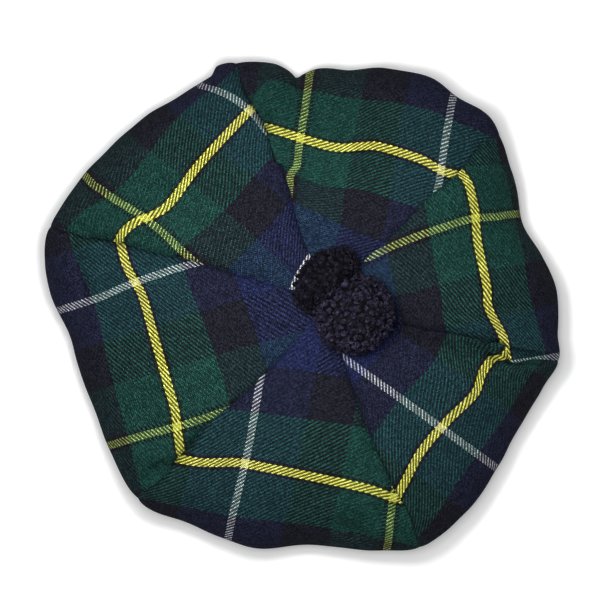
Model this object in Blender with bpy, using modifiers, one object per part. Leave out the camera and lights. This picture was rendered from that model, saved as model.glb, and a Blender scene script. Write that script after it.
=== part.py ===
"""A soft tam o'shanter lying on a surface: six cloth gores, a headband and a toorie.

Metres, +Z up, seen from above with +Y towards the top of the view. The origin is on the surface,
under the middle of the hat. The crown is one surface, worked out from the rim line, the seams and
a cross-section, and each gore is the stretch of it between two seams, with a cloth's thickness.
"""
import bpy
import numpy as np

MM = 0.001

# Driving sizes
CLOTH = 1.6 * MM              # thickness of the fulled wool cloth
GAP = 0.3 * MM                # clearance between neighbouring pieces
HEAD_RADIUS = 92.3 * MM       # inside of the headband, for a 58 cm head
BAND_WALL = 2.6 * MM          # headband thickness, cloth folded double
BAND_HEIGHT = 30.0 * MM
CROWN_MIDDLE = (13.9 * MM, 3.0 * MM)   # where the six seams meet, off the hat's own middle

# The rim seen from above, a row for each crest, dip and flank of the floppy edge.
# angle: degrees about the origin.  reach: mm from the origin.  height: mm of the widest line.
RIM = (
    (3, 138.7, 19), (12, 133.2, 17), (21, 128.0, 14), (33, 136.0, 18), (39, 141.0, 20),
    (45, 143.4, 22), (54, 141.0, 20), (60, 141.7, 21), (71, 137.5, 19), (80, 129.6, 17),
    (86, 128.6, 16), (89.8, 125.8, 14), (91.4, 124.2, 13), (93, 127.8, 14), (97, 133.2, 17),
    (104, 137.0, 20), (109.3, 137.6, 21), (111.8, 134.0, 20), (122, 132.6, 18), (131, 133.6, 18),
    (145, 137.0, 19), (157, 141.5, 21), (163, 144.6, 22), (171, 141.4, 20), (177, 136.9, 19),
    (190, 126.8, 16), (197, 125.4, 15), (204, 126.6, 16), (217, 130.4, 18), (231, 138.6, 22),
    (246, 134.1, 18), (256, 135.3, 19), (271, 130.8, 15), (279, 134.4, 17), (288, 139.8, 20),
    (298, 146.3, 22), (308, 144.0, 21), (314, 140.3, 19), (321, 136.9, 18), (330, 136.3, 17),
    (341, 138.2, 19), (348, 143.4, 22), (354, 139.2, 20),
)

# The six seams, counter-clockwise, each the end of the gore before it.
# angle: degrees of its end on the rim.  inner, outer: mm that the cloth sinks to it, towards the
# middle and towards the rim.  before, after: mm of the roll's width, clockwise and counter-clockwise.
# shifts: mm that it lies counter-clockwise of a straight line, at each of SEAM_WAYS.
SEAM_WAYS = (0.0, 0.25, 0.40, 0.50, 0.62, 0.72, 0.80, 0.90, 1.0)
SEAMS = (
    ("seam_6_1", 105.3, 3.2, 10.0, 7.0, 2.4, (0, 0.6, -0.9, -3.0, -2.9, -4.1, -3.9, -2.2, 0)),
    ("seam_1_2", 162.6, 3.6, 7.5, 4.2, 2.0, (0, -0.8, -1.4, -1.4, -1.1, -1.5, -1.4, -1.1, 0)),
    ("seam_2_3", 229.5, 2.8, 8.5, 5.0, 2.4, (0, 2.6, 2.4, 1.4, -0.8, -0.2, 0.2, -1.2, 0)),
    ("seam_3_4", 295.9, 3.5, 4.5, 3.4, 3.0, (0, -3.3, -3.9, -4.4, -4.6, -3.8, -4.5, -2.3, 0)),
    ("seam_4_5", 347.7, 3.6, 7.5, 2.0, 4.5, (0, -4.0, -4.2, -2.9, -2.2, -2.8, -4.6, -2.3, 0)),
    ("seam_5_6", 400.6, 1.8, 3.0, 4.5, 5.0, (0, 2.0, 1.0, 1.6, 2.8, 1.6, 1.4, 3.0, 0)),
)
SEAM_SHARPNESS = 1.2          # power of the roll's fall: above 1 rounds its foot
OUTER_STRETCH = (0.60, 0.82)  # ways between which the inner depth passes into the outer one
SEAM_START = 0.3              # way at which a seam has its full depth
RIM_SHARE = 0.1               # share of the depth that is left at the rim and under it
RIM_FADE = 10                 # power of the way with which the rest of it runs out
SEAM_CLEARANCE = 0.6 * GAP    # of each gore from the seam, a little over half the gap

# The cross-section of the crown, a row for each station from the middle over the rim to the band.
# side: over or under.  way: 0 at the crown's middle (over) or the band (under), 1 at the rim.
SECTION = (
    ("over", 0.045, 39.4), ("over", 0.22, 40.6), ("over", 0.45, 43.6), ("over", 0.66, 41.6),
    ("over", 0.80, 37.6), ("over", 0.92, 31.0), ("over", 0.98, 23.8), ("over", 1.0, 19.0),
    ("under", 0.93, 12.2), ("under", 0.78, 8.8), ("under", 0.55, 11.0), ("under", 0.30, 19.0),
    ("under", 0.11, 27.5), ("under", 0.045, 30.4), ("under", 0.0, 30.4),
)

# Folds of the crown, a row for each ridge (rise above 0) or valley (below 0), in mm from above:
# start x, start y, end x, end y, half width, rise.
FOLDS = (
    (-20, 92, -47, 132, 12, 4.0),
    (-3, 128, -8, 62, 9, -3.5),
    (20, 118, 24, 78, 12, 3.0),
    (118, 48, 62, 24, 12, -3.0),
    (112, 78, 74, 58, 14, 2.5),
    (132, 8, 96, 6, 13, 2.5),
    (104, -24, 52, -12, 9, -2.5),
    (112, -52, 80, -44, 14, 2.5),
    (62, -126, 52, -84, 12, 3.0),
    (28, -124, 44, -112, 7, -3.0),
    (-66, -112, -96, -76, 12, 3.0),
    (-126, -18, -88, -8, 14, -2.5),
    (-132, 26, -84, 12, 12, 2.0),
    (-104, 68, -60, 40, 16, 1.5),
)

RIM_ROW = 7                   # the section's row on the rim
RIM_SWAY = 5                  # power of the way with which the rim's rise and fall fades inwards
FOLD_FADE = 12                # power of the way with which the folds fade at the rim

GATHERS = 18                  # soft waves where the cloth is eased into the headband
GATHER_DEPTH = 1.3 * MM
GATHER_WAY = 0.7              # way at which they have run out
BAND_SEAM = HEAD_RADIUS + 0.5 * MM     # radius of the cloth's end on top of the headband

# How finely the gores are divided: shares of the way from seam to seam, and along the section
ACROSS = (0.0, 0.03, 0.09, 0.2, 0.32, 0.44, 0.56, 0.68, 0.8, 0.91, 0.97, 1.0)
STATIONS = 28

# The toorie: two soft lobes that meet in the groove of its tie
TOORIE_SEAT = 39.2 * MM       # height of its flattened underside
UNDERSIDE = 0.72              # how much flatter a lobe is below its middle
# The two lobes, in mm: name, middle x, middle y, half length, half width, half height, and the
# direction of the length in degrees
LOBES = (
    ("large", 27.6, -4.5, 22.6, 22.8, 21.0, 305.0),
    ("small", 13.1, 13.2, 15.8, 22.0, 17.5, 316.0),
)
LOCKS = 44                    # tufts on each lobe
LOCK_RADIUS = 5.2 * MM
LOCK_PROUD = 3.4 * MM         # how far a lock stands out of its lobe's core
TOORIE_GRAIN = 2.7 * MM       # facet size of the fused wool


def eased(places, values, at):
    """Smooth curve through the rows: cubic pieces whose slope is nil at each crest and dip."""
    places = np.asarray(places, float)
    values = np.asarray(values, float)
    run = np.diff(places)
    slope = np.diff(values) / run
    product = slope[:-1] * slope[1:]
    total = slope[:-1] + slope[1:]
    inner = np.where(product > 0, 2 * product / np.where(product > 0, total, 1.0), 0.0)
    tangent = np.concatenate([[slope[0]], inner, [slope[-1]]])
    cell = np.clip(np.searchsorted(places, at, side="right") - 1, 0, len(run) - 1)
    t = (at - places[cell]) / run[cell]
    return (values[cell] * (1 + 2 * t) * (1 - t) ** 2 + tangent[cell] * run[cell] * t * (1 - t) ** 2
            + values[cell + 1] * t * t * (3 - 2 * t) - tangent[cell + 1] * run[cell] * t * t * (1 - t))


def rim_rows():
    """The rim's rows repeated on both sides, so that the curve closes smoothly."""
    rows = np.array(RIM, float)
    before = rows[-3:] - (360, 0, 0)
    after = rows[:3] + (360, 0, 0)
    return np.vstack([before, rows, after])


def rim(angle):
    """Reach and height of the rim at angles in degrees."""
    rows = rim_rows()
    turn = np.mod(angle, 360.0)
    return eased(rows[:, 0], rows[:, 1], turn) * MM, eased(rows[:, 0], rows[:, 2], turn) * MM


def seam_shift(angle, way):
    """Sideways shift of the cloth: each seam's own at its angle, carried smoothly to the next."""
    places = np.array([row[1] for row in SEAMS] + [SEAMS[0][1] + 360.0])
    turn = np.mod(angle - places[0], 360.0) + places[0]
    total = np.zeros_like(way)
    for k in range(len(SEAMS)):
        t = np.clip((turn - places[k]) / (places[k + 1] - places[k]), 0, 1)
        t = t * t * (3 - 2 * t)
        here = eased(SEAM_WAYS, SEAMS[k][-1], way)
        there = eased(SEAM_WAYS, SEAMS[(k + 1) % len(SEAMS)][-1], way)
        inside = (turn >= places[k]) & (turn < places[k + 1])
        total = np.where(inside, here * (1 - t) + there * t, total)
    return total * MM


def seam_drop(angle, way, radius, under):
    """How far the cloth sinks towards its seams, falling off with the distance along the circle."""
    t = np.clip((way - OUTER_STRETCH[0]) / (OUTER_STRETCH[1] - OUTER_STRETCH[0]), 0, 1)
    t = np.where(under, 1.0, t * t * (3 - 2 * t))
    fade = np.where(under, RIM_SHARE, 1 - (1 - RIM_SHARE) * way ** RIM_FADE)
    fade = fade * np.clip(way / SEAM_START, 0, 1)
    drop = np.zeros_like(way)
    for _, place, inner, outer, before, after, _ in SEAMS:
        aside = np.radians(np.mod(angle - place + 180.0, 360.0) - 180.0) * radius
        width = np.where(aside < 0, before, after) * MM
        depth = (inner + (outer - inner) * t) * MM
        drop = np.maximum(drop, depth * np.exp(-(np.abs(aside) / width) ** SEAM_SHARPNESS))
    return drop * fade


def fold_rise(x, y):
    """Height added by the folds: a smooth ridge or valley about each row's line."""
    total = np.zeros_like(x)
    for x0, y0, x1, y1, width, rise in FOLDS:
        run = np.array((x1 - x0, y1 - y0)) * MM
        length = np.hypot(*run)
        dx = x - x0 * MM
        dy = y - y0 * MM
        along = (dx * run[0] + dy * run[1]) / length ** 2
        aside = (dx * run[1] - dy * run[0]) / length
        past = np.maximum(np.maximum(-along, along - 1), 0) * length
        total += rise * MM * np.exp(-(aside / (width * MM)) ** 2 - (past / (width * MM)) ** 2)
    return total


def section(station):
    """Whether the station is under the rim, its way and its height; station runs from 0 to 1."""
    places = np.arange(len(SECTION), dtype=float)
    at = station * places[-1]
    way = eased(places, [row[1] for row in SECTION], at)
    height = eased(places, [row[2] for row in SECTION], at) * MM
    return at > RIM_ROW, way, height


def crown(angle, station):
    """Outer surface before its seams sink in, at rim angles in degrees and stations from 0 to 1.

    Over the rim, straight lines run from the crown's middle to the rim, shifted sideways as the
    seams are. Under it, they run back to the headband. The height is the cross-section's, with
    the rim's rise and fall, the folds and the gathers added.
    """
    under, way, height = section(station)
    reach, rim_height = rim(angle)
    turn = np.radians(angle)
    rim_x = reach * np.cos(turn)
    rim_y = reach * np.sin(turn)
    start_x = np.where(under, BAND_SEAM * np.cos(turn), CROWN_MIDDLE[0])
    start_y = np.where(under, BAND_SEAM * np.sin(turn), CROWN_MIDDLE[1])
    run_x = rim_x - start_x
    run_y = rim_y - start_y
    swing = np.where(under, 0.0, seam_shift(angle, way)) / np.hypot(run_x, run_y)
    x = start_x + way * run_x - swing * run_y
    y = start_y + way * run_y + swing * run_x
    sway = (rim_height - SECTION[RIM_ROW][2] * MM) * way ** RIM_SWAY
    folds = np.where(under, 0.0, fold_rise(x, y) * (1 - way ** FOLD_FADE))
    eased_in = np.where(under, np.sin(np.pi * np.clip(way / GATHER_WAY, 0, 1)) ** 2, 0.0)
    gathers = GATHER_DEPTH * eased_in * np.cos(GATHERS * turn)
    return np.stack([x, y, height + sway + folds + gathers], axis=-1)


def crown_normal(angle, station):
    """Unit normal of that surface, from small steps across and along it."""
    step_across = 0.05
    step_along = 0.001
    across = crown(angle + step_across, station) - crown(angle - step_across, station)
    ahead = np.minimum(station + step_along, 1.0)
    behind = np.maximum(station - step_along, 0.0)
    normal = np.cross(crown(angle, ahead) - crown(angle, behind), across)
    return normal / np.linalg.norm(normal, axis=-1, keepdims=True)


def closed_shell(name, outer, inner):
    """Mesh of the solid between two grids of points that match row by row."""
    rows, columns = outer.shape[:2]
    grid = np.arange(rows * columns).reshape(rows, columns)
    low = grid + rows * columns
    outside = np.stack([grid[:-1, :-1], grid[1:, :-1], grid[1:, 1:], grid[:-1, 1:]], -1).reshape(-1, 4)
    inside = np.stack([low[:-1, :-1], low[:-1, 1:], low[1:, 1:], low[1:, :-1]], -1).reshape(-1, 4)
    edge = np.concatenate([grid[0, :-1], grid[:-1, -1], grid[-1, :0:-1], grid[:0:-1, 0]])
    edge_low = edge + rows * columns
    wall = np.stack([edge, np.roll(edge, -1), np.roll(edge_low, -1), edge_low], -1)
    mesh = bpy.data.meshes.new(name)
    points = np.concatenate([outer.reshape(-1, 3), inner.reshape(-1, 3)])
    mesh.from_pydata(points.tolist(), [], np.concatenate([outside, inside, wall]).tolist())
    mesh.update()
    return mesh


def material(name, colour, roughness):
    """A plain cloth or wool finish."""
    made = bpy.data.materials.new(name)
    made.use_nodes = True
    shader = made.node_tree.nodes["Principled BSDF"]
    shader.inputs["Base Color"].default_value = (*colour, 1.0)
    shader.inputs["Roughness"].default_value = roughness
    shader.inputs["Metallic"].default_value = 0.0
    return made


def add_piece(name, mesh, finish, collection):
    """An object for the mesh, shaded smooth, in the hat's collection."""
    piece = bpy.data.objects.new(name, mesh)
    collection.objects.link(piece)
    mesh.materials.append(finish)
    mesh.shade_smooth()
    mesh.set_sharp_from_angle(angle=np.radians(50))
    return piece


def make_gore(number, finish, collection):
    """The cloth between two seams, held half the gap clear of each."""
    start = SEAMS[number - 1][1]
    end = SEAMS[number][1] if number < len(SEAMS) else SEAMS[0][1] + 360.0
    share, station = np.meshgrid(ACROSS, np.linspace(0.0, 1.0, STATIONS))
    under, way, _ = section(station)
    reach = rim(start + share * (end - start))[0]
    radius = np.where(under, BAND_SEAM + way * (reach - BAND_SEAM), way * reach)
    margin = np.degrees(SEAM_CLEARANCE / radius)
    angle = start + margin + share * (end - start - 2 * margin)
    normal = crown_normal(angle, station)
    outer = crown(angle, station) - seam_drop(angle, way, radius, under)[..., None] * normal
    inner = outer - CLOTH * normal
    return add_piece(f"gore_{number}", closed_shell(f"gore_{number}", outer, inner), finish, collection)


def make_headband(finish, collection):
    """A turned band, its profile run down the outer side and back up the inner one."""
    outer = HEAD_RADIUS + BAND_WALL
    bevel = 0.7 * MM
    profile = ((outer - bevel, BAND_HEIGHT), (outer, BAND_HEIGHT - bevel), (outer, 0.0),
               (HEAD_RADIUS, 0.0), (HEAD_RADIUS, BAND_HEIGHT - bevel), (HEAD_RADIUS + bevel, BAND_HEIGHT))
    points = [(radius, 0.0, height) for radius, height in profile]
    edges = [(i, (i + 1) % len(points)) for i in range(len(points))]
    mesh = bpy.data.meshes.new("headband")
    mesh.from_pydata(points, edges, [])
    piece = add_piece("headband", mesh, finish, collection)
    turned = piece.modifiers.new("turned", "SCREW")
    turned.steps = 60
    turned.render_steps = 60
    turned.use_merge_vertices = True
    turned.merge_threshold = 0.0001
    return piece


def spread(count):
    """Directions spread evenly over a sphere along a golden spiral."""
    index = np.arange(count) + 0.5
    polar = np.arccos(1 - 2 * index / count)
    turn = np.pi * (1 + 5 ** 0.5) * index
    return np.stack([np.cos(turn) * np.sin(polar), np.sin(turn) * np.sin(polar), np.cos(polar)], -1)


def ball(centre, half_sizes, turn_degrees, detail):
    """Vertices and faces of a round body, flatter below its middle and turned about Z."""
    bpy.ops.mesh.primitive_ico_sphere_add(subdivisions=detail, radius=1.0)
    made = bpy.context.object
    mesh = made.data
    points = np.empty(len(mesh.vertices) * 3)
    mesh.vertices.foreach_get("co", points)
    faces = np.array([face.vertices[:] for face in mesh.polygons])
    bpy.data.objects.remove(made)
    bpy.data.meshes.remove(mesh)
    return seated(points.reshape(-1, 3) * half_sizes, turn_degrees) + centre, faces


def seated(points, turn_degrees):
    """Points of a lobe with the lower half flattened, turned about Z."""
    turn = np.radians(turn_degrees)
    x, y, z = points[..., 0], points[..., 1], points[..., 2]
    return np.stack([x * np.cos(turn) - y * np.sin(turn), x * np.sin(turn) + y * np.cos(turn),
                     np.where(z < 0, z * UNDERSIDE, z)], -1)


def make_toorie(finish, collection):
    """Two lobes set with round locks, fused into one body of wool."""
    bodies = []
    for _, x, y, length, width, height, turn in LOBES:
        half = np.array((length, width, height)) * MM
        centre = np.array((x * MM, y * MM, TOORIE_SEAT + UNDERSIDE * height * MM))
        bodies.append(ball(centre, half - LOCK_PROUD, turn, 3))
        for direction in spread(LOCKS):
            place = seated(direction * (half - LOCK_RADIUS), turn)
            bodies.append(ball(centre + place, np.full(3, LOCK_RADIUS), 0.0, 2))
    first = np.cumsum([0] + [len(body_points) for body_points, _ in bodies[:-1]])
    points = np.concatenate([body_points for body_points, _ in bodies])
    faces = np.concatenate([body_faces + shift for (_, body_faces), shift in zip(bodies, first)])
    mesh = bpy.data.meshes.new("toorie")
    mesh.from_pydata(points.tolist(), [], faces.tolist())
    piece = add_piece("toorie", mesh, finish, collection)
    fused = piece.modifiers.new("fused", "REMESH")
    fused.mode = "VOXEL"
    fused.voxel_size = TOORIE_GRAIN
    fused.use_smooth_shade = True
    return piece


def main():
    for old in list(bpy.data.objects):
        bpy.data.objects.remove(old)
    hat = bpy.data.collections.new("tam_o_shanter")
    bpy.context.scene.collection.children.link(hat)
    cloth = material("tartan_wool", (0.02, 0.07, 0.06), 0.9)
    band_cloth = material("band_wool", (0.02, 0.03, 0.05), 0.9)
    wool = material("black_wool", (0.016, 0.014, 0.016), 0.95)
    for number in range(1, len(SEAMS) + 1):
        make_gore(number, cloth, hat)
    make_headband(band_cloth, hat)
    make_toorie(wool, hat)


main()
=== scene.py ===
import bpy
import numpy as np
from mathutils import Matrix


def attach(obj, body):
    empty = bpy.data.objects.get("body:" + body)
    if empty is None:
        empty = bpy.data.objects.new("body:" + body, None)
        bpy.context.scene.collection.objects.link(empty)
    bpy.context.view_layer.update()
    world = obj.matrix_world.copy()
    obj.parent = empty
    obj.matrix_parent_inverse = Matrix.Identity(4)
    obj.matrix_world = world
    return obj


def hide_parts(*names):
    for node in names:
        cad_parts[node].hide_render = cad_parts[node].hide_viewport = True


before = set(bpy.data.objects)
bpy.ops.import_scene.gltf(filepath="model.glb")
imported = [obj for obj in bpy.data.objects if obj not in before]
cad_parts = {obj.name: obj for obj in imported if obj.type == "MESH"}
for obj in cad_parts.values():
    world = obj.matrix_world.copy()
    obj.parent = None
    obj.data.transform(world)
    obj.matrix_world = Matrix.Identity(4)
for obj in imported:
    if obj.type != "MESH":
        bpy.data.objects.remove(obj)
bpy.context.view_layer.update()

MM = 0.001

# ---------------------------------------------------------------- sizes shared with the solids
CLOTH = 1.6 * MM              # thickness of the fulled wool cloth
HEAD_RADIUS = 92.3 * MM       # inside of the headband
BAND_WALL = 2.6 * MM
BAND_HEIGHT = 30.0 * MM
BAND_SEAM = HEAD_RADIUS + 0.5 * MM     # radius of the cloth's end on top of the headband
CROWN_MIDDLE = (13.9 * MM, 3.0 * MM)   # where the six seams meet

# The rim from above, a row for each crest, dip and flank: degrees, reach in mm, height in mm
RIM = (
    (3, 138.7, 19), (12, 133.2, 17), (21, 128.0, 14), (33, 136.0, 18), (39, 141.0, 20),
    (45, 143.4, 22), (54, 141.0, 20), (60, 141.7, 21), (71, 137.5, 19), (80, 129.6, 17),
    (86, 128.6, 16), (89.8, 125.8, 14), (91.4, 124.2, 13), (93, 127.8, 14), (97, 133.2, 17),
    (104, 137.0, 20), (109.3, 137.6, 21), (111.8, 134.0, 20), (122, 132.6, 18), (131, 133.6, 18),
    (145, 137.0, 19), (157, 141.5, 21), (163, 144.6, 22), (171, 141.4, 20), (177, 136.9, 19),
    (190, 126.8, 16), (197, 125.4, 15), (204, 126.6, 16), (217, 130.4, 18), (231, 138.6, 22),
    (246, 134.1, 18), (256, 135.3, 19), (271, 130.8, 15), (279, 134.4, 17), (288, 139.8, 20),
    (298, 146.3, 22), (308, 144.0, 21), (314, 140.3, 19), (321, 136.9, 18), (330, 136.3, 17),
    (341, 138.2, 19), (348, 143.4, 22), (354, 139.2, 20),
)

# The cross-section, from the middle over the rim to the band: way 0 to 1 to 0, height in mm
SECTION = (
    (0.045, 39.4), (0.22, 40.6), (0.45, 43.6), (0.66, 41.6), (0.80, 37.6), (0.92, 31.0),
    (0.98, 23.8), (1.0, 19.0), (0.93, 12.2), (0.78, 8.8), (0.55, 11.0), (0.30, 19.0),
    (0.11, 27.5), (0.045, 30.4), (0.0, 30.4),
)
RIM_ROW = 7                   # the row of the widest line
RIM_SWAY = 5                  # power of the way with which the rim's own height comes in
FOLD_FADE = 12                # power of the way with which the folds run out at the rim
GATHERS = 18                  # soft gathers of the underside round the band
GATHER_DEPTH = 1.3 * MM
GATHER_WAY = 0.7              # way at which they have run out

# The six seams, counter-clockwise, in mm but for the first column: rim angle in degrees, depth
# towards the middle and towards the rim, width of the roll on the clockwise and the
# counter-clockwise side, and the sideways shift at SEAM_WAYS
SEAM_WAYS = (0.0, 0.25, 0.40, 0.50, 0.62, 0.72, 0.80, 0.90, 1.0)
SEAMS = (
    (105.3, 3.2, 10.0, 7.0, 2.4, (0, 0.6, -0.9, -3.0, -2.9, -4.1, -3.9, -2.2, 0)),
    (162.6, 3.6, 7.5, 4.2, 2.0, (0, -0.8, -1.4, -1.4, -1.1, -1.5, -1.4, -1.1, 0)),
    (229.5, 2.8, 8.5, 5.0, 2.4, (0, 2.6, 2.4, 1.4, -0.8, -0.2, 0.2, -1.2, 0)),
    (295.9, 3.5, 4.5, 3.4, 3.0, (0, -3.3, -3.9, -4.4, -4.6, -3.8, -4.5, -2.3, 0)),
    (347.7, 3.6, 7.5, 2.0, 4.5, (0, -4.0, -4.2, -2.9, -2.2, -2.8, -4.6, -2.3, 0)),
    (400.6, 1.8, 3.0, 4.5, 5.0, (0, 2.0, 1.0, 1.6, 2.8, 1.6, 1.4, 3.0, 0)),
)
SEAM_SHARPNESS = 1.2          # power of the roll's fall: above 1 rounds its foot
OUTER_STRETCH = (0.60, 0.82)  # ways between which the inner depth passes into the outer one
SEAM_START = 0.3              # way at which a seam has its full depth
RIM_SHARE = 0.1               # share of the depth that is left at the rim and under it
RIM_FADE = 10                 # power of the way with which the rest of it runs out
TURNED_EDGE = (0.9 * MM, 0.8 * MM)     # the cloth's turned edge at a seam: width and depth

# Folds, in mm from above: start x, start y, end x, end y, half width, rise
FOLDS = (
    (-20, 92, -47, 132, 12, 4.0),
    (-3, 128, -8, 62, 9, -3.5),
    (20, 118, 24, 78, 12, 3.0),
    (118, 48, 62, 24, 12, -3.0),
    (112, 78, 74, 58, 14, 2.5),
    (132, 8, 96, 6, 13, 2.5),
    (104, -24, 52, -12, 9, -2.5),
    (112, -52, 80, -44, 14, 2.5),
    (62, -126, 52, -84, 12, 3.0),
    (28, -124, 44, -112, 7, -3.0),
    (-66, -112, -96, -76, 12, 3.0),
    (-126, -18, -88, -8, 14, -2.5),
    (-132, 26, -84, 12, 12, 2.0),
    (-104, 68, -60, 40, 16, 1.5),
)
# Narrow creases near the seams' ends, in the folds' columns
CREASES = (
    (-18, 77, 2, 75, 4.0, 2.2),
    (-16, 70, 0, 68, 3.5, -1.6),
    (21, -119, 42, -133, 4.0, -4.4),
    (30, -110, 45, -124, 5.0, 3.0),
    (53, -104, 66, -128, 4.5, 3.4),
    (51, -112, 60, -127, 3.0, -3.6),
    (-27, 120, -22, 104, 6.0, -3.0),
    (-127, 36, -118, 8, 3.5, -2.8),
    (-134, 44, -122, 42, 4.5, -3.0),
    (-78, -89, -88, -99, 3.5, -2.6),
    (106, -27, 134, -30, 3.5, -3.5),
    (108, 0, 134, -4, 5.0, -2.5),
    (57, -15, 104, -24, 4.0, -2.0),
    (-96, -92, -80, -92, 5.0, -2.0),
)
# Soft waves of the cloth: length in mm, direction in degrees, phase in degrees, height in mm
WAVES = (
    (61, 20, 17, 0.45),
    (47, 75, 109, 0.40),
    (38, 130, 229, 0.30),
    (29, 165, 126, 0.22),
    (23, 50, 292, 0.16),
)
WAVE_START = 0.3              # way at which the waves have their full height

# ---------------------------------------------------------------- the tartan
HALF_SETT = 82.2 * MM         # from the middle of a yellow line to the middle of a white one
SPOKE_PITCH = HALF_SETT / 104  # spacing of the threads that run from the crown's middle outwards
RING_PITCH = HALF_SETT / 150  # spacing of the threads that run round the crown
BLENDING = 0.75               # share in which crossing threads tint each other
RING_TINT = 0.70              # the ring threads' share of that tint
EVENING = 0.06                # share in which the loose fibres even out light and dark threads
CAST = 0.40                   # how far the ring threads tint the light on the spoke threads
TRAPPING = 0.50               # share of the light that bounces on between the fibres
GLOW = 0.13                   # share of it that bounces twice and fills the gaps between threads
RING_SHOW = 0.58              # share of the surface that the ring threads cover
TWILL_REPEAT = 4.0            # threads after which the weave repeats
CLOTH_SPECULAR = 0.04
# Painted shade along a thread's float and across its round: brightness at the edge, and what the middle
# adds
RING_FLOAT = (0.06, 0.94)
RING_ROUND = (0.90, 0.15)
SPOKE_FLOAT = (0.04, 0.66)
SPOKE_ROUND = (0.87, 0.20)
SPOKE_RISE = 0.7              # height of the spoke threads' floats over the ring threads'
LINT_SCALE = 1100.0           # fineness of the loose fibres
LINT_RISE = 0.35              # height of the loose fibres over the ring threads' floats
LINT_BRIGHTNESS = (0.15, 0.8)  # painted glints of the loose fibres, with their own tone: where there is none, and what it adds
CROSSING_CHANCE = 1.35        # painted glints: what each crossing's own chance adds to that, at the most
TWILL_ROUGHNESS = (0.82, 0.16)         # where there is no loose fibre, and what it adds
TWILL_RELIEF = (0.55, 0.25 * MM)       # strength and depth of the weave in the light

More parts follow.
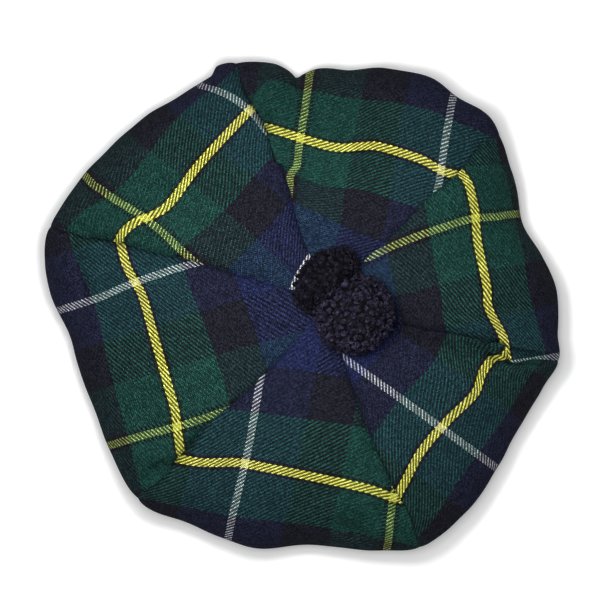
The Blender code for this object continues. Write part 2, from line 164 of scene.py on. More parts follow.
# How each gore was cut and how its cloth lies, from above, in mm from the crown's middle. "turn" is
# the direction that its spoke threads point in.
# "rings": place around, then the distances outwards of the lines that the ring threads make: the
# white middle, where black begins after blue, where green begins after black, the yellow middle, and
# where black begins again. "spokes": distance outwards, then the places around of the lines that
# the spoke threads make: the yellow middle, where black begins, where blue begins, the white middle.
CUTS = (
    {"turn": 134.5,
     "rings": ((-44, 29.0, 52.5, 77.0, 102.8, 126.0), (-20, 25.6, 52.0, 76.0, 102.1, 128.5),
               (0, 21.3, 50.3, 74.0, 100.9, 127.0), (27, 12.5, 49.8, 74.6, 97.1, 122.5),
               (36, 13.0, 49.6, 75.0, 99.2, 122.0), (44, 12.0, 49.5, 75.0, 102.8, 123.0),
               (52, 12.0, 49.5, 75.0, 103.9, 125.0), (60, 12.0, 49.5, 75.0, 102.0, 127.5)),
     "spokes": ((40, 34.5, 4.0, -20.0, -40.1), (55, 36.0, 4.5, -20.5, -40.2),
                (75, 37.9, 6.5, -18.5, -40.2), (88, 38.2, 8.0, -16.0, -40.2),
                (101, 39.7, 9.0, -14.5, -41.6), (110, 41.8, 10.5, -14.0, -40.6),
                (120, 44.2, 11.8, -13.4, -38.0), (135, 47.0, 13.6, -12.0, -32.4))},
    {"turn": 196.2,
     "rings": ((-64, 5.0, 47.0, 71.0, 99.2, 125.5), (-50, 5.0, 46.5, 70.5, 99.5, 123.5),
               (-28, 5.0, 45.0, 70.0, 95.6, 122.0), (0, 5.0, 43.0, 67.5, 95.9, 124.0),
               (32, 5.0, 42.0, 66.5, 96.0, 124.5), (44, 5.0, 42.0, 66.5, 97.8, 125.0),
               (56, 5.0, 42.0, 66.5, 99.6, 126.5)),
     "spokes": ((40, 40.5, 12.0, -14.0, -38.6), (68, 42.0, 12.0, -13.5, -39.2),
                (98, 43.0, 12.2, -12.8, -38.2), (120, 42.4, 12.0, -12.4, -35.7),
                (135, 42.8, 12.0, -12.0, -35.4))},
    {"turn": 259.5,
     "rings": ((-62, 5.0, 42.5, 69.5, 99.2, 126.0), (-54, 5.0, 42.0, 69.0, 99.0, 125.5),
               (-28, 5.0, 40.5, 67.0, 95.0, 124.5), (0, 5.0, 39.8, 65.5, 95.3, 122.5),
               (24, 5.0, 39.5, 64.5, 95.8, 122.0), (40, 5.0, 39.5, 64.5, 96.4, 122.5),
               (54, 5.0, 39.5, 64.5, 98.8, 124.5)),
     "spokes": ((50, 54.0, 25.3, 0.3, -28.2), (85, 54.1, 24.8, -0.4, -27.8),
                (98, 54.2, 24.6, -0.8, -28.3), (127, 56.1, 24.4, -1.4, -29.8))},
    {"turn": 324.7,
     "rings": ((-66, 8.0, 37.5, 62.5, 91.5, 115.5), (-56, 8.0, 37.5, 62.3, 90.4, 115.0),
               (-38, 8.0, 38.0, 62.0, 88.2, 114.0), (-16, 8.0, 39.0, 63.0, 90.2, 114.5),
               (5, 8.0, 40.5, 65.9, 93.7, 115.2), (18, 8.0, 39.5, 63.8, 90.4, 114.2),
               (24, 8.0, 39.2, 63.3, 90.5, 113.5), (30, 8.0, 39.0, 63.0, 96.0, 113.0)),
     "spokes": ((30, 60.6, 33.5, 8.0, -20.7), (60, 60.6, 33.5, 8.0, -20.8),
                (90, 60.4, 33.5, 8.0, -21.1), (128, 59.6, 33.0, 7.5, -21.6))},
    {"turn": 371.9,
     "rings": ((-50, 6.0, 37.0, 60.5, 88.5, 110.0), (-42, 6.0, 37.0, 60.5, 88.8, 109.0),
               (-20, 6.0, 36.5, 58.8, 83.7, 107.0), (-11, 6.0, 36.5, 60.3, 85.2, 107.5),
               (14, 6.0, 36.5, 60.5, 85.6, 110.6), (32, 6.0, 37.0, 61.5, 87.6, 111.5),
               (44, 6.0, 37.0, 61.5, 87.3, 111.5), (54, 6.0, 37.0, 61.0, 83.6, 110.0)),
     "spokes": ((27, 18.0, -5.5, -28.0, -62.0), (44, 22.1, -5.0, -28.5, -58.0),
                (67, 25.4, -3.5, -28.5, -55.0), (87, 27.0, -2.0, -27.5, -54.4),
                (96, 25.7, -2.0, -27.5, -54.9), (118, 24.5, -3.0, -27.5, -55.8))},
    {"turn": 436.0,
     "rings": ((-54, 12.0, 36.0, 59.0, 82.5, 109.0), (-46, 12.0, 36.0, 59.5, 82.2, 110.0),
               (-28, 12.0, 37.0, 60.5, 86.1, 112.8), (-6, 12.0, 39.0, 62.3, 87.0, 111.8),
               (4, 12.0, 41.5, 61.3, 84.3, 110.4), (14, 12.0, 43.8, 59.6, 81.1, 108.6),
               (20, 12.0, 45.0, 59.4, 80.5, 108.0), (40, 12.0, 48.0, 62.0, 81.6, 108.2),
               (54, 12.0, 50.0, 63.0, 82.4, 109.0), (58, 12.0, 51.0, 64.0, 82.2, 108.5),
               (62, 12.0, 51.0, 64.0, 82.0, 105.0), (66, 12.0, 51.0, 64.0, 81.0, 99.0),
               (70, 12.0, 51.0, 64.0, 80.0, 96.0)),
     "spokes": ((44, 34.2, 3.5, -20.0, -44.0), (49, 34.2, 4.5, -20.0, -44.0),
                (54, 35.0, 5.4, -19.6, -43.8), (61, 36.2, 6.0, -19.0, -43.4),
                (66, 34.0, 6.6, -18.4, -43.0), (77, 35.4, 7.4, -17.4, -42.6),
                (98, 37.3, 8.6, -15.6, -40.6), (120, 39.4, 9.4, -14.6, -39.3))},
)
LINE_HALF = 2.4 * MM          # half the width of a yellow or white line, which keeps it everywhere
LINE_SHARE = 0.83             # its width as the cloth lies, over its width in the weave
ARC_WAY = 0.90                # way past which the cloth is measured along its curve

# Colours of the threads, linear
FULL = (1.0, 1.0, 1.0)        # all of the light
YELLOW = (0.80, 0.79, 0.130)
BLACK = (0.0076, 0.0086, 0.0158)
GUARD = (0.0100, 0.0095, 0.0045)       # the black beside the yellow line, which its light warms
GREEN = (0.0060, 0.0590, 0.0438)
BLUE = (0.0112, 0.0182, 0.0740)
WHITE = (0.70, 0.72, 0.765)
PAINTED_SHEEN = (0.0055, 0.0055, 0.0070)        # painted sheen: the light that the cloth's loose surface fibres send back everywhere
SPOKE_YELLOW = (0.56, 0.66, 0.150)     # the greener yellow of the spoke threads
# The sett from the yellow line's middle: where each colour begins, in mm, and the colour
SETT = ((0.0, YELLOW), (2.3, GUARD), (4.2, GREEN), (28.3, BLACK), (53.2, BLUE), (79.8, WHITE))

# ---------------------------------------------------------------- how finely the cloth is divided
GORE_COLUMNS = 110
GORE_ROWS = 168
CROWDING = 0.86               # how strongly the columns crowd towards the seams
ANGLE_STEP = 0.05             # step of the slopes round the crown, in degrees
STATION_STEP = 0.0005         # step of the slopes along the cross-section
BAND_TURNS = 240
BAND_SIDES = 40
BAND_SQUARENESS = 0.35        # power of the band's rounded section: under 1 squares it

# ---------------------------------------------------------------- toorie
TOORIE_SEAT = 39.2 * MM       # height of the crown under it
UNDERSIDE = 0.72              # height of a lobe's lower half over its upper half's
CHANCE_SEED = 7
# The two lobes, in mm: name, middle x, middle y, half length, half width, half height, the direction
# of the length in degrees, and how many locks
LOBES = (
    ("large", 27.6, -4.5, 22.6, 22.8, 21.0, 305.0, 380),
    ("small", 13.1, 13.2, 15.8, 22.0, 17.5, 316.0, 270),
)
# The valley where the lobes press together: its middle, the direction across it in degrees, its
# depth and its half width
VALLEY = (18.8 * MM, 7.9 * MM, 129.4, 6.0 * MM, 4.5 * MM)
VALLEY_FADE = 20 * MM         # height above the seat at which it has its full depth
CORE_INSET = 3.0 * MM         # how far the dark core of a lobe lies inside it
CORE_RINGS = 24
CORE_SIDES = 40
LOCK_CURLS = 5                # curls wound round each other in a lock
LOCK_SCATTER = 0.025          # chance turn of a lock's direction, in radians
LOCK_DEPTH = 2.4              # the most that a lock lies below the surface, in mm
CURL_SIDES = 4                # flat sides of the yarn
CURL_STEPS = 12               # rings of points along a curl
CURL_END = 0.04               # its ends are as thick as it is at this share of its length
CURL_TAPER = 2.5              # how quickly it swells to its full thickness
YARN = 0.52 * MM              # half the yarn's thickness
CURL_SCATTER = 0.4            # chance shift of a curl from its lock's place, in mm
# The least and the most that chance gives a curl
YARN_SPREAD = (0.75, 1.2)     # share of the yarn's thickness
CURL_RADIUS = (0.7 * MM, 1.3 * MM)
CURL_LEAN = (0.2, 1.2)        # how strongly its axis leans outwards
CURL_TURNS = (0.8, 1.35)
CURL_CLIMB = (0.6, 2.0)       # how far it climbs along its axis, in mm
WOOL = (0.0100, 0.0086, 0.0165)
# The small lobe's wool: the same wool darker, as painted shade
SHADED_WOOL = (0.0044, 0.0038, 0.0070)
# The cores' wool: darker than the curls, as painted shade deep among them
CORE_WOOL = (0.002, 0.002, 0.003)
WOOL_SPECULAR = 0.06
STREAK_SCALE = 900.0          # fineness of the wool's streaks
STREAK_DETAIL = 3.0           # layers of finer and finer detail in them
TUFT_SCALE = 420.0            # fineness of its tufts
STREAK_BRIGHTNESS = 0.4
TUFT_BRIGHTNESS = 17.0        # of the tufts' fourth power, so that only a few stand out
WOOL_ROUGHNESS = (0.75, 0.2)  # between the streaks, and what they add
WOOL_RELIEF = (0.5, 0.3 * MM)          # strength and depth of the streaks in the light

# ---------------------------------------------------------------- camera, floor and light
VIEW_HEIGHT = 2.5
FRAME_WIDTH = 0.3268          # what the square frame takes in at the height of the rim
FRAME_MIDDLE = (-1.36 * MM, 3.0 * MM)
RIM_HEIGHT = 19.0 * MM
SENSOR = 36.0
FLOOR_HALF = 2.5
FLOOR_COLOUR = (0.95, 0.95, 0.95, 1.0)
FLOOR_ROUGHNESS = 0.8
FLOOR_SPECULAR = 0.3
FLOOR_GLOW = 0.2              # strength of the floor's own faint light
# Soft square lamps: name, place, aim, side, power in watts
LAMPS = (
    ("near", (-0.025, 0.030, 0.35), (-0.025, 0.030, 0.0), 0.12, 1.30),
    ("key", (-0.9, 1.1, 1.6), (0.0, 0.0, 0.0), 0.8, 1.2),
    ("top", (-0.1, 0.1, 2.2), (0.0, 0.0, 0.0), 0.7, 18.6),
)
SKY = 0.20                    # strength of the even light from all round


# ================================================================ the crown's surface
def eased(places, values, at):
    """Cubic through the rows whose slope is nil at each crest and dip, elsewhere the harmonic mean;
    level before the first row and after the last."""
    places = np.asarray(places, float)
    values = np.asarray(values, float)
    at = np.clip(at, places[0], places[-1])
    run = np.diff(places)
    slope = np.diff(values) / run
    product = slope[:-1] * slope[1:]
    total = slope[:-1] + slope[1:]
    inner = np.where(product > 0, 2 * product / np.where(product > 0, total, 1.0), 0.0)
    tangent = np.concatenate([[slope[0]], inner, [slope[-1]]])
    cell = np.clip(np.searchsorted(places, at, side="right") - 1, 0, len(run) - 1)
    t = (at - places[cell]) / run[cell]
    return (values[cell] * (1 + 2 * t) * (1 - t) ** 2 + tangent[cell] * run[cell] * t * (1 - t) ** 2
            + values[cell + 1] * t * t * (3 - 2 * t) - tangent[cell + 1] * run[cell] * t * t * (1 - t))


def rim(angle):
    """Reach and height of the rim at angles in degrees, its rows repeated to close the curve."""
    rows = np.array(RIM, float)
    rows = np.vstack([rows[-3:] - (360, 0, 0), rows, rows[:3] + (360, 0, 0)])
    turn = np.mod(angle, 360.0)
    return eased(rows[:, 0], rows[:, 1], turn) * MM, eased(rows[:, 0], rows[:, 2], turn) * MM


def seam_shift(angle, way):
    """Sideways shift of the cloth: each seam's own at its angle, carried smoothly to the next."""
    places = np.array([row[0] for row in SEAMS] + [SEAMS[0][0] + 360.0])
    turn = np.mod(angle - places[0], 360.0) + places[0]
    total = np.zeros_like(way)
    for k in range(len(SEAMS)):
        t = np.clip((turn - places[k]) / (places[k + 1] - places[k]), 0, 1)
        inside = (turn >= places[k]) & (turn < places[k + 1])
        t = t * t * (3 - 2 * t)
        here = eased(SEAM_WAYS, SEAMS[k][-1], way)
        there = eased(SEAM_WAYS, SEAMS[(k + 1) % len(SEAMS)][-1], way)
        total = np.where(inside, here * (1 - t) + there * t, total)
    return total * MM


def seam_drop(angle, way, radius, under):
    """How far the cloth sinks towards its seams: each seam's depth times a falling exponential of
    the distance along the circle over the roll's width, plus the narrow turned edge."""
    t = np.clip((way - OUTER_STRETCH[0]) / (OUTER_STRETCH[1] - OUTER_STRETCH[0]), 0, 1)
    t = np.where(under, 1.0, t * t * (3 - 2 * t))
    fade = np.where(under, RIM_SHARE, 1 - (1 - RIM_SHARE) * way ** RIM_FADE)
    fade = fade * np.clip(way / SEAM_START, 0, 1)
    drop = np.zeros_like(way)
    edge = np.zeros_like(way)
    for place, inner, outer, before, after, _ in SEAMS:
        aside = np.radians(np.mod(angle - place + 180.0, 360.0) - 180.0) * radius
        near = np.abs(aside)
        width = np.where(aside < 0, before, after) * MM
        depth = (inner + (outer - inner) * t) * MM
        drop = np.maximum(drop, depth * np.exp(-(near / width) ** SEAM_SHARPNESS))
        edge = np.maximum(edge, TURNED_EDGE[1] * np.exp(-(near / TURNED_EDGE[0]) ** 2))
    return (drop + edge) * fade


def fold_rise(x, y):
    """Sum over the folds of rise times a bell across the fold's line and past its ends."""
    total = np.zeros_like(x)
    for x0, y0, x1, y1, width, rise in FOLDS + CREASES:
        run = np.array((x1 - x0, y1 - y0)) * MM
        length = np.hypot(*run)
        dx = x - x0 * MM
        dy = y - y0 * MM
        along = (dx * run[0] + dy * run[1]) / length ** 2
        aside = (dx * run[1] - dy * run[0]) / length
        past = np.maximum(np.maximum(-along, along - 1), 0) * length
        total += rise * MM * np.exp(-(aside / (width * MM)) ** 2 - (past / (width * MM)) ** 2)
    return total


def wave_rise(x, y):
    """Sum of the soft waves: plane cosines over the plan."""
    total = np.zeros_like(x)
    for length, direction, phase, height in WAVES:
        turn = np.radians(direction)
        run = x * np.cos(turn) + y * np.sin(turn)
        total += height * MM * np.cos(2 * np.pi * run / (length * MM) + np.radians(phase))
    return total


def section(station):
    """Whether the station is under the rim, its way and its height; station runs from 0 to 1."""
    places = np.arange(len(SECTION), dtype=float)
    at = station * places[-1]
    way = eased(places, [row[0] for row in SECTION], at)
    height = eased(places, [row[1] for row in SECTION], at) * MM
    return at > RIM_ROW, way, height


def crown(angle, station):
    """Outer surface before its seams sink in: straight lines from the crown's middle to the rim,
    shifted sideways, then back to the band; height is the section's with sway, folds and gathers."""
    under, way, height = section(station)
    reach, rim_height = rim(angle)
    turn = np.radians(angle)
    rim_x = reach * np.cos(turn)
    rim_y = reach * np.sin(turn)
    start_x = np.where(under, BAND_SEAM * np.cos(turn), CROWN_MIDDLE[0])
    start_y = np.where(under, BAND_SEAM * np.sin(turn), CROWN_MIDDLE[1])
    run_x = rim_x - start_x
    run_y = rim_y - start_y
    swing = np.where(under, 0.0, seam_shift(angle, way)) / np.hypot(run_x, run_y)
    x = start_x + way * run_x - swing * run_y
    y = start_y + way * run_y + swing * run_x
    sway = (rim_height - SECTION[RIM_ROW][1] * MM) * way ** RIM_SWAY
    folds = np.where(under, 0.0, fold_rise(x, y) * (1 - way ** FOLD_FADE))
    eased_in = np.where(under, np.sin(np.pi * np.clip(way / GATHER_WAY, 0, 1)) ** 2, 0.0)
    gathers = GATHER_DEPTH * eased_in * np.cos(GATHERS * turn)
    return np.stack([x, y, height + sway + folds + gathers], axis=-1)


def unit(vectors):
    """The vectors over their lengths."""
    return vectors / np.linalg.norm(vectors, axis=-1, keepdims=True)


def crown_normal(angle, station):
    """Outward unit normal: the cross product of central differences along both parameters."""
    low = np.clip(station - STATION_STEP, 0, 1)
    high = np.clip(station + STATION_STEP, 0, 1)
    along = crown(angle, high) - crown(angle, low)
    across = crown(angle + ANGLE_STEP, station) - crown(angle - ANGLE_STEP, station)
    return unit(np.cross(along, across))


# ================================================================ meshes from grids
def quad_mesh(name, points, quads, maps=None):
    """Mesh of quads, shaded smooth, with an optional UV map given for each point."""
    mesh = bpy.data.meshes.new(name)
    mesh.vertices.add(len(points))
    mesh.vertices.foreach_set("co", points.astype(np.float32).ravel())
    mesh.loops.add(quads.size)
    mesh.loops.foreach_set("vertex_index", quads.astype(np.int32).ravel())
    mesh.polygons.add(len(quads))
    mesh.polygons.foreach_set("loop_start", np.arange(0, quads.size, 4, dtype=np.int32))
    if maps is not None:
        layer = mesh.uv_layers.new(name="cloth")
        layer.data.foreach_set("uv", maps[quads.ravel()].astype(np.float32).ravel())
    mesh.update(calc_edges=True)
    mesh.validate()
    mesh.shade_smooth()
    return mesh


def closed_shell(name, outer, inner, cloth_map):
    """Solid between two matching grids, joined round their edge, with the cloth's UV map on both."""
    rows, columns = outer.shape[:2]
    grid = np.arange(rows * columns).reshape(rows, columns)
    low = grid + rows * columns
    outside = np.stack([grid[:-1, :-1], grid[1:, :-1], grid[1:, 1:], grid[:-1, 1:]], -1).reshape(-1, 4)
    inside = np.stack([low[:-1, :-1], low[:-1, 1:], low[1:, 1:], low[1:, :-1]], -1).reshape(-1, 4)
    edge = np.concatenate([grid[0, :-1], grid[:-1, -1], grid[-1, :0:-1], grid[:0:-1, 0]])
    edge_low = edge + rows * columns
    wall = np.stack([edge, np.roll(edge, -1), np.roll(edge_low, -1), edge_low], -1)
    points = np.concatenate([outer.reshape(-1, 3), inner.reshape(-1, 3)])
    maps = np.concatenate([cloth_map.reshape(-1, 2)] * 2)
    return quad_mesh(name, points, np.concatenate([outside, inside, wall]), maps)


def add_piece(name, mesh, finish, node):
    """An object for the mesh that rides on the hat and stands for its solid."""
    piece = bpy.data.objects.new(name, mesh)
    bpy.context.scene.collection.objects.link(piece)
    mesh.materials.append(finish)
    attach(piece, "root")
    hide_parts(node)
    return piece


# ================================================================ materials
class Figure:
    """A number in a material: a socket whose arithmetic adds Math nodes."""

    def __init__(self, board, socket):
        self.board = board
        self.socket = socket

    def math(self, operation, *others):
        return self.board.add("ShaderNodeMath", {"operation": operation}, (self,) + others)

    def __add__(self, other):
        return self.math("ADD", other)

    def __sub__(self, other):
        return self.math("SUBTRACT", other)

    def __rsub__(self, other):
        return self.board.add("ShaderNodeMath", {"operation": "SUBTRACT"}, (other, self))

    def __mul__(self, other):
        return self.math("MULTIPLY", other)

    def __truediv__(self, other):
        return self.math("DIVIDE", other)

    __radd__ = __add__
    __rmul__ = __mul__

    def floor(self):
        return self.math("FLOOR")

    def fraction(self):
        return self.math("FRACT")

    def size(self):
        return self.math("ABSOLUTE")

    def sine(self):
        return self.math("SINE")

    def below(self, other):
        return self.math("LESS_THAN", other)


class Board:
    """A material's node tree, with one way to add any node."""

    def __init__(self, name, specular):
        self.material = bpy.data.materials.new(name)
        self.material.use_nodes = True
        self.tree = self.material.node_tree
        self.shader = self.tree.nodes["Principled BSDF"]
        self.set("Specular IOR Level", specular)

    def set(self, socket, value):
        target = self.shader.inputs[socket]
        if isinstance(value, Figure):
            self.tree.links.new(value.socket, target)
        else:
            target.default_value = value

    def add(self, kind, settings=None, inputs=(), output=0):
        """Adds a node: its settings, then its inputs by order or by name; returns an output."""
        node = self.tree.nodes.new(kind)
        for setting, value in (settings or {}).items():
            if setting == "stops":
                self.fill_ramp(node.color_ramp, value)
            else:
                setattr(node, setting, value)
        pairs = inputs.items() if isinstance(inputs, dict) else enumerate(inputs)
        for place, value in pairs:
            if isinstance(value, Figure):
                self.tree.links.new(value.socket, node.inputs[place])
            elif isinstance(value, tuple) and len(value) == 3 and node.inputs[place].type == "RGBA":
                node.inputs[place].default_value = (*value, 1.0)
            else:
                node.inputs[place].default_value = value
        return Figure(self, node.outputs[output])

    @staticmethod
    def fill_ramp(ramp, stops):
        """Bands of plain colour: each stop's colour holds until the next."""
        ramp.interpolation = "CONSTANT"
        while len(ramp.elements) < len(stops):
            ramp.elements.new(0.5)
        for element, (place, colour) in zip(ramp.elements, stops):
            element.position = place
            element.color = (*colour, 1.0)

    def mix(self, share, first, second, blend="MIX"):
        """Colour between first and second."""
        settings = {"data_type": "RGBA", "blend_type": blend}
        return self.add("ShaderNodeMix", settings, {0: share, 6: first, 7: second}, output=2)

    def tinted(self, colour, shade):
        """The colour times a grey shade."""
        grey = self.add("ShaderNodeCombineColor", {}, (shade, shade, shade))
        return self.mix(1.0, colour, grey, "MULTIPLY")

    def grey_of(self, colour):
        return self.add("ShaderNodeRGBToBW", {}, (colour,))

    def noise(self, place, scale, detail=2.0):
        return self.add("ShaderNodeTexNoise", {}, {"Vector": place, "Scale": scale, "Detail": detail})

    def body(self):
        """Coordinates in the piece itself, in metres."""
        return self.add("ShaderNodeTexCoord", {}, (), output=3)

    def bump(self, height, strength, distance):
        inputs = {"Strength": strength, "Distance": distance, "Height": height}
        self.set("Normal", self.add("ShaderNodeBump", {}, inputs))


def graded(levels, share):
    """The first level, and the second times the share."""
    return levels[0] + levels[1] * share


def tartan(name):
    """Two-and-two twill: a ring thread lies on top where the fraction of (spoke count plus ring
    index) / 4 is under its share; each thread takes the sett's colour at its own middle.

    Crossing threads tint each other. Light and shade are painted into the colour: each float gets a
    painted shade, bright in its middle and dark at its ends and edges. The light that bounces on
    between the fibres is painted in too and brightens the cloth: its colour times the painted shade,
    over one less what is trapped. What bounces twice is painted into the gaps. Painted glints of the
    fibres scale the shade, and a painted sheen of the loose fibres is added on top."""
    board = Board(name, CLOTH_SPECULAR)
    place = board.add("ShaderNodeUVMap", {"uv_map": "cloth"})
    spoke_count = board.add("ShaderNodeSeparateXYZ", {}, (place,), output=0) / SPOKE_PITCH
    ring_count = board.add("ShaderNodeSeparateXYZ", {}, (place,), output=1) / RING_PITCH
    spoke_index = spoke_count.floor()
    ring_index = ring_count.floor()
    step = ((spoke_count + ring_index) / TWILL_REPEAT).fraction()
    ring_on_top = step.below(RING_SHOW)

    def thread_colour(index, pitch, middle):
        turn = ((index + 0.5) * (pitch / (2 * HALF_SETT)) + 0.5).fraction() - 0.5
        stops = [(start * MM / HALF_SETT, colour) for start, colour in ((0.0, middle),) + SETT[1:]]
        return board.add("ShaderNodeValToRGB", {"stops": stops}, (turn.size() * 2.0,))

    ring = thread_colour(ring_index, RING_PITCH, YELLOW)
    spoke = thread_colour(spoke_index, SPOKE_PITCH, SPOKE_YELLOW)
    cast = board.tinted(ring, board.grey_of(ring).math("POWER", -1.0))
    lit = board.mix(1.0, spoke, board.mix(CAST, FULL, cast), "MULTIPLY")
    seen = board.mix(ring_on_top, lit, ring)
    blend = board.mix(RING_TINT, spoke, ring)
    share = EVENING + (1.0 - EVENING) * (board.grey_of(seen) / board.grey_of(blend))
    cloth = board.mix(BLENDING, seen, board.tinted(blend, share))
    ring_round = (ring_count.fraction() * np.pi).sine()
    spoke_round = (spoke_count.fraction() * np.pi).sine()
    ring_float = (step * (np.pi / RING_SHOW)).sine()
    spoke_float = ((step - RING_SHOW) * (np.pi / (1 - RING_SHOW))).sine()
    # Painted shade of the weave's relief: a float bright in its middle and round, dark at its ends and
    # edges
    ring_shade = graded(RING_FLOAT, ring_float * ring_float) * graded(RING_ROUND, ring_round)
    spoke_shade = graded(SPOKE_FLOAT, spoke_float * spoke_float) * graded(SPOKE_ROUND, spoke_round)
    spoke_rise = spoke_float * spoke_round * SPOKE_RISE
    rise = ring_on_top * ring_float * ring_round + (1.0 - ring_on_top) * spoke_rise
    lint = board.noise(board.body(), LINT_SCALE)
    cell = board.add("ShaderNodeCombineXYZ", {}, (spoke_index, ring_index))
    chance = board.add("ShaderNodeTexWhiteNoise", {"noise_dimensions": "2D"}, {"Vector": cell})
    # Painted glints: the loose fibres' lint and each crossing's chance brighten the painted shade and
    # sheen
    fibre = graded(LINT_BRIGHTNESS, lint) + chance * chance * CROSSING_CHANCE
    shade = (ring_on_top * ring_shade + (1.0 - ring_on_top) * spoke_shade) * fibre
    # Painted bounce light: the cloth brightened by light trapped between the fibres, and the gaps by
    # what bounces twice
    leaving = board.mix(1.0, FULL, board.tinted(blend, TRAPPING * (1.0 - shade)), "SUBTRACT")
    bright = board.mix(1.0, board.tinted(cloth, shade), leaving, "DIVIDE")
    twice = board.tinted(board.mix(1.0, blend, blend, "MULTIPLY"), GLOW * (1.0 - shade))
    bright = board.mix(1.0, bright, twice, "ADD")
    # Painted sheen of the loose fibres, added on top of the colour
    board.set("Base Color", board.mix(1.0, bright, board.tinted(PAINTED_SHEEN, fibre), "ADD"))
    board.set("Roughness", graded(TWILL_ROUGHNESS, lint))
    board.bump(rise + lint * LINT_RISE, *TWILL_RELIEF)
    return board.material


def wool(name, colour):
    """Black wool yarn with streaks of fibre, paler tufts and a dull surface."""
    board = Board(name, WOOL_SPECULAR)
    body = board.body()
    streak = board.noise(body, STREAK_SCALE, STREAK_DETAIL)
    tuft = board.noise(body, TUFT_SCALE)
    shade = streak * STREAK_BRIGHTNESS + tuft.math("POWER", 4.0) * TUFT_BRIGHTNESS
    board.set("Base Color", board.tinted(colour, shade))
    board.set("Roughness", graded(WOOL_ROUGHNESS, streak))
    board.bump(streak, *WOOL_RELIEF)
    return board.material


# ================================================================ gores
def line_places(rows, at):
    """The places of a table's lines at distances in metres, from rows in mm."""
    rows = np.array(rows, float) * MM
    return [eased(rows[:, 0], rows[:, column], at) for column in range(1, rows.shape[1])]


def between(lines, marks, at):
    """Cloth coordinate at a place: straight shares between the lines, whose coordinates are the
    marks, and one for one beyond them."""
    low = np.minimum(lines[0], lines[-1])
    high = np.maximum(lines[0], lines[-1])
    total = marks[0] + at - np.clip(at, low, high)
    for k in range(len(marks) - 1):
        share = np.clip((at - lines[k]) / (lines[k + 1] - lines[k]), 0.0, 1.0)
        total = total + share * (marks[k + 1] - marks[k])
    return total


def cloth_places(cut, points, way, under):
    """Cloth coordinates of a gore's grid: across its spoke threads, and outwards along them.

    Seen from above, a place's share between two of the tartan's lines gives its cloth coordinate.
    Past ARC_WAY the distance outwards is counted along the curve, over the rim and back beneath."""
    green_end, black_end = SETT[3][0] * MM, SETT[4][0] * MM
    turn = np.radians(cut["turn"])
    dx = points[..., 0] - CROWN_MIDDLE[0]
    dy = points[..., 1] - CROWN_MIDDLE[1]
    outward = dx * np.cos(turn) + dy * np.sin(turn)
    around = -dx * np.sin(turn) + dy * np.cos(turn)
    plain = np.diff(outward, axis=0)
    steps = np.hypot(plain, np.diff(points[..., 2], axis=0))
    curved = under[1:] | (way[1:] > ARC_WAY)
    run = np.cumsum(np.where(curved, steps, plain), 0)
    outward = outward[:1] + np.concatenate([np.zeros_like(outward[:1]), run])
    white, black, green, yellow, outer = line_places(cut["rings"], around)
    edge = LINE_HALF * LINE_SHARE
    ring_lines = (white, white + edge, black, green, yellow - edge, yellow, yellow + edge, outer)
    white_end, white_start = LINE_HALF - HALF_SETT, -LINE_HALF - HALF_SETT
    ring_marks = (-HALF_SETT, white_end, -black_end, -green_end, -LINE_HALF, 0.0, LINE_HALF, green_end)
    q = between(ring_lines, ring_marks, outward)
    yellow, black, blue, white = line_places(cut["spokes"], outward)
    spoke_lines = (yellow + edge, yellow - edge, black, blue, white + edge, white - edge)
    spoke_marks = (LINE_HALF, -LINE_HALF, -green_end, -black_end, white_end, white_start)
    p = between(spoke_lines, spoke_marks, around)
    return np.stack([p, q], axis=-1)


def make_gore(number, cut, finish):
    """The cloth between two seams, as a closed wall of fine cells that crowd towards the seams."""
    start = SEAMS[number - 1][0]
    end = SEAMS[number][0] if number < len(SEAMS) else SEAMS[0][0] + 360.0
    even = np.linspace(0.0, 1.0, GORE_COLUMNS)
    share = even - CROWDING * np.sin(2 * np.pi * even) / (2 * np.pi)
    share, station = np.meshgrid(share, np.linspace(0.0, 1.0, GORE_ROWS))
    under, way, _ = section(station)
    angle = start + share * (end - start)
    base = crown(angle, station)
    normal = crown_normal(angle, station)
    radius = np.where(under, np.hypot(base[..., 0], base[..., 1]), way * rim(angle)[0])
    drop = seam_drop(angle, way, radius, under)
    waves = wave_rise(base[..., 0], base[..., 1]) * np.clip(way / WAVE_START, 0, 1)
    outer = base + normal * (waves - drop)[..., None]
    inner = outer - CLOTH * normal
    maps = cloth_places(cut, outer, way, under)
    name = f"gore_{number}_cloth"
    piece = add_piece(name, closed_shell(name, outer, inner, maps), finish, f"gore_{number}")


# ================================================================ headband
def make_headband(finish):
    """A rounded band: a superellipse of wall and height carried round the head's circle."""
    side = np.linspace(0, 2 * np.pi, BAND_SIDES, endpoint=False)
    lean = np.sign(np.cos(side)) * np.abs(np.cos(side)) ** BAND_SQUARENESS
    rise = np.sign(np.sin(side)) * np.abs(np.sin(side)) ** BAND_SQUARENESS
    turn = np.linspace(0, 2 * np.pi, BAND_TURNS, endpoint=False)
    turn, lean = np.meshgrid(turn, lean, indexing="ij")
    rise = np.broadcast_to(rise, turn.shape)
    radius = HEAD_RADIUS + BAND_WALL * 0.5 * (1 + lean)
    height = BAND_HEIGHT * 0.5 * (1 + rise)
    points = np.stack([radius * np.cos(turn), radius * np.sin(turn), height], -1)
    step = np.linalg.norm(np.diff(points[0], axis=0, append=points[0][:1]), axis=-1)
    around = np.concatenate([[0.0], np.cumsum(step)[:-1]])
    maps = np.stack([turn * HEAD_RADIUS, np.broadcast_to(around, turn.shape)], -1)
    grid = np.arange(turn.size).reshape(turn.shape)
    ahead = np.roll(grid, -1, axis=0)
    quads = np.stack([grid, ahead, np.roll(ahead, -1, axis=1), np.roll(grid, -1, axis=1)], -1)
    mesh = quad_mesh("headband_cloth", points.reshape(-1, 3), quads.reshape(-1, 4), maps.reshape(-1, 2))
    piece = add_piece("headband_cloth", mesh, finish, "headband")


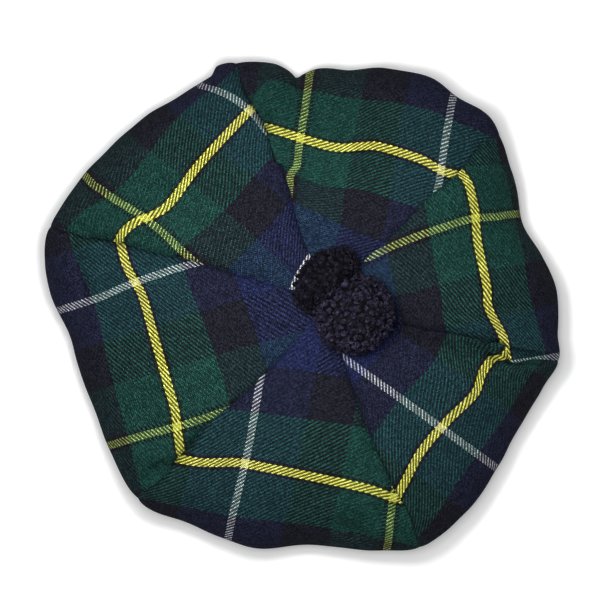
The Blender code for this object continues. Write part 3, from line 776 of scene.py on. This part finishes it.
# ================================================================ toorie
def seated(points, degrees):
    """Points of a lobe with the lower half flattened, turned about Z."""
    turn = np.radians(degrees)
    x, y, z = points[..., 0], points[..., 1], points[..., 2]
    return np.stack([x * np.cos(turn) - y * np.sin(turn), x * np.sin(turn) + y * np.cos(turn),
                     np.where(z < 0, z * UNDERSIDE, z)], -1)


def valley(points):
    """How far the toorie sinks where its lobes press together, fading to nothing at its seat."""
    x, y, degrees, depth, width = VALLEY
    turn = np.radians(degrees)
    across = (points[..., 0] - x) * np.cos(turn) + (points[..., 1] - y) * np.sin(turn)
    share = np.clip((points[..., 2] - TOORIE_SEAT) / VALLEY_FADE, 0, 1)
    return share * depth * np.exp(-(across / width) ** 2)


def spread(count):
    """Directions spread evenly over a sphere along a golden spiral."""
    index = np.arange(count) + 0.5
    polar = np.arccos(1 - 2 * index / count)
    turn = np.pi * (1 + 5 ** 0.5) * index
    return np.stack([np.cos(turn) * np.sin(polar), np.sin(turn) * np.sin(polar), np.cos(polar)], -1)


def curls(centre, half, degrees, locks, rng):
    """Tubes of yarn, each about one turn of a helix; the curls of a lock share its place.

    The helix's axis is a chance direction that leans outwards; rings of points are set square to
    the path, and taper to its ends."""
    count = locks * LOCK_CURLS
    way = unit(spread(locks) + rng.normal(0, LOCK_SCATTER, (locks, 3))).repeat(LOCK_CURLS, axis=0)
    deep = rng.uniform(0.0, LOCK_DEPTH, (locks, 1)).repeat(LOCK_CURLS, axis=0) * MM
    base = centre + seated(way * (half - YARN - 0.5 * CURL_RADIUS[1] - deep), degrees)
    base = base + rng.normal(0, CURL_SCATTER, (count, 3)) * MM
    base[:, 2] -= valley(base)
    out = unit(seated(way / half, degrees))
    axis = unit(out * rng.uniform(*CURL_LEAN, (count, 1)) + unit(rng.normal(size=(count, 3))))
    side = unit(np.cross(axis, rng.normal(size=(count, 3))))
    other = np.cross(axis, side)
    radius = rng.uniform(*CURL_RADIUS, (count, 1))
    turns = rng.uniform(*CURL_TURNS, (count, 1))
    start = rng.uniform(0, 2 * np.pi, (count, 1))
    t = np.linspace(0, 1, CURL_STEPS)[None, :]
    phase = start + turns * 2 * np.pi * t
    slide = (t - 0.5) * rng.uniform(*CURL_CLIMB, (count, 1)) * MM
    path = (base[:, None] + (np.cos(phase) * radius)[..., None] * other[:, None]
            + (np.sin(phase) * radius)[..., None] * side[:, None] + slide[..., None] * axis[:, None])
    along = unit(np.gradient(path, axis=1))
    first = unit(np.cross(along, axis[:, None]))
    second = np.cross(along, first)
    taper = np.clip(np.sin(np.pi * np.clip(t, CURL_END, 1 - CURL_END)) * CURL_TAPER, 0, 1)
    thick = YARN * rng.uniform(*YARN_SPREAD, (count, 1)) * taper
    ring = np.arange(CURL_SIDES) * 2 * np.pi / CURL_SIDES
    points = (path[:, :, None] + (thick[..., None] * np.cos(ring))[..., None] * first[:, :, None]
              + (thick[..., None] * np.sin(ring))[..., None] * second[:, :, None])
    index = np.arange(points[..., 0].size).reshape(points.shape[:3])
    ahead = np.roll(index, -1, axis=2)
    walls = np.stack([index[:, :-1], ahead[:, :-1], ahead[:, 1:], index[:, 1:]], -1).reshape(-1, 4)
    caps = np.concatenate([index[:, 0, ::-1], index[:, -1]])
    return points.reshape(-1, 3), np.concatenate([walls, caps])


def ellipsoid(centre, half, degrees):
    """A closed round body: rings of points from pole to pole, its poles closed by small squares."""
    pole = 0.02
    polar = np.linspace(pole, np.pi - pole, CORE_RINGS)[:, None]
    turn = np.linspace(0, 2 * np.pi, CORE_SIDES, endpoint=False)[None, :]
    points = np.stack([np.sin(polar) * np.cos(turn), np.sin(polar) * np.sin(turn),
                       np.cos(polar) * np.ones_like(turn)], -1)
    points = centre + seated(points * half, degrees)
    index = np.arange(CORE_RINGS * CORE_SIDES).reshape(CORE_RINGS, CORE_SIDES)
    ahead = np.roll(index, -1, axis=1)
    walls = np.stack([index[:-1], index[1:], ahead[1:], ahead[:-1]], -1).reshape(-1, 4)
    ends = np.stack([index[0], index[-1][::-1]])
    k = np.arange(CORE_SIDES // 2 - 1)
    caps = np.stack([ends[:, k], ends[:, k + 1], ends[:, -k - 2], ends[:, -k - 1]], -1).reshape(-1, 4)
    return points.reshape(-1, 3), np.concatenate([walls, caps])


def make_toorie(finishes, core_finish):
    """Two lobes of curls over cores darkened as painted shade; the finishes are in the lobes' order, the
    small lobe's a darker copy of the wool as painted shade.
    """
    rng = np.random.default_rng(CHANCE_SEED)
    for (name, x, y, length, width, height, degrees, locks), finish in zip(LOBES, finishes):
        half = np.array((length, width, height)) * MM
        centre = np.array((x * MM, y * MM, TOORIE_SEAT + UNDERSIDE * height * MM))
        points, quads = ellipsoid(centre, half - CORE_INSET, degrees)
        points[:, 2] -= valley(points)
        core = f"toorie_core_{name}"
        add_piece(core, quad_mesh(core, points, quads), core_finish, "toorie")
        points, quads = curls(centre, half, degrees, locks, rng)
        piece = f"toorie_curls_{name}"
        add_piece(piece, quad_mesh(piece, points, quads), finish, "toorie")


# ================================================================ floor, camera and light
def make_stage():
    """A plain pale floor."""
    corners = np.array([(-1, -1, 0), (1, -1, 0), (1, 1, 0), (-1, 1, 0)]) * FLOOR_HALF
    mesh = quad_mesh("floor", corners, np.array([(0, 1, 2, 3)]))
    floor = bpy.data.objects.new("floor", mesh)
    bpy.context.scene.collection.objects.link(floor)
    board = Board("pale_floor", FLOOR_SPECULAR)
    board.set("Roughness", FLOOR_ROUGHNESS)
    board.set("Base Color", FLOOR_COLOUR)
    board.set("Emission Color", (*FULL, 1.0))
    board.set("Emission Strength", FLOOR_GLOW)
    mesh.materials.append(board.material)


def make_camera():
    """Straight overhead, framed so that the rim's height fills the photograph's frame."""
    data = bpy.data.cameras.new("camera")
    data.sensor_width = SENSOR
    data.lens = SENSOR * (VIEW_HEIGHT - RIM_HEIGHT) / FRAME_WIDTH
    camera = bpy.data.objects.new("camera", data)
    camera.location = (*FRAME_MIDDLE, VIEW_HEIGHT)
    bpy.context.scene.collection.objects.link(camera)
    bpy.context.scene.camera = camera


def make_light(name, place, aim, size, power):
    """A soft square lamp, tilted from straight down and turned about the vertical to face its aim."""
    data = bpy.data.lights.new(name, "AREA")
    data.shape = "SQUARE"
    data.size = size
    data.energy = power
    lamp = bpy.data.objects.new(name, data)
    lamp.location = place
    direction = np.array(aim, float) - np.array(place, float)
    flat = np.hypot(direction[0], direction[1])
    lamp.rotation_euler = (np.arctan2(flat, -direction[2]), 0.0, np.arctan2(-direction[0], direction[1]))
    bpy.context.scene.collection.objects.link(lamp)


def make_world(colour, strength):
    """Even light of one colour from all round."""
    world = bpy.data.worlds.new("studio")
    world.use_nodes = True
    back = world.node_tree.nodes["Background"]
    back.inputs["Color"].default_value = (*colour, 1.0)
    back.inputs["Strength"].default_value = strength
    bpy.context.scene.world = world


def main():
    cloth = tartan("tartan_twill")
    for number, cut in enumerate(CUTS, start=1):
        make_gore(number, cut, cloth)
    make_headband(cloth)
    # The small lobe's wool is the same wool darker: painted shade
    wools = [wool("toorie_wool", WOOL), wool("toorie_wool_painted_shade", SHADED_WOOL)]
    make_toorie(wools, wool("toorie_core", CORE_WOOL))
    make_stage()
    make_camera()
    for lamp in LAMPS:
        make_light(*lamp)
    make_world(FULL, SKY)
    bpy.context.scene.view_settings.view_transform = "Standard"


main()
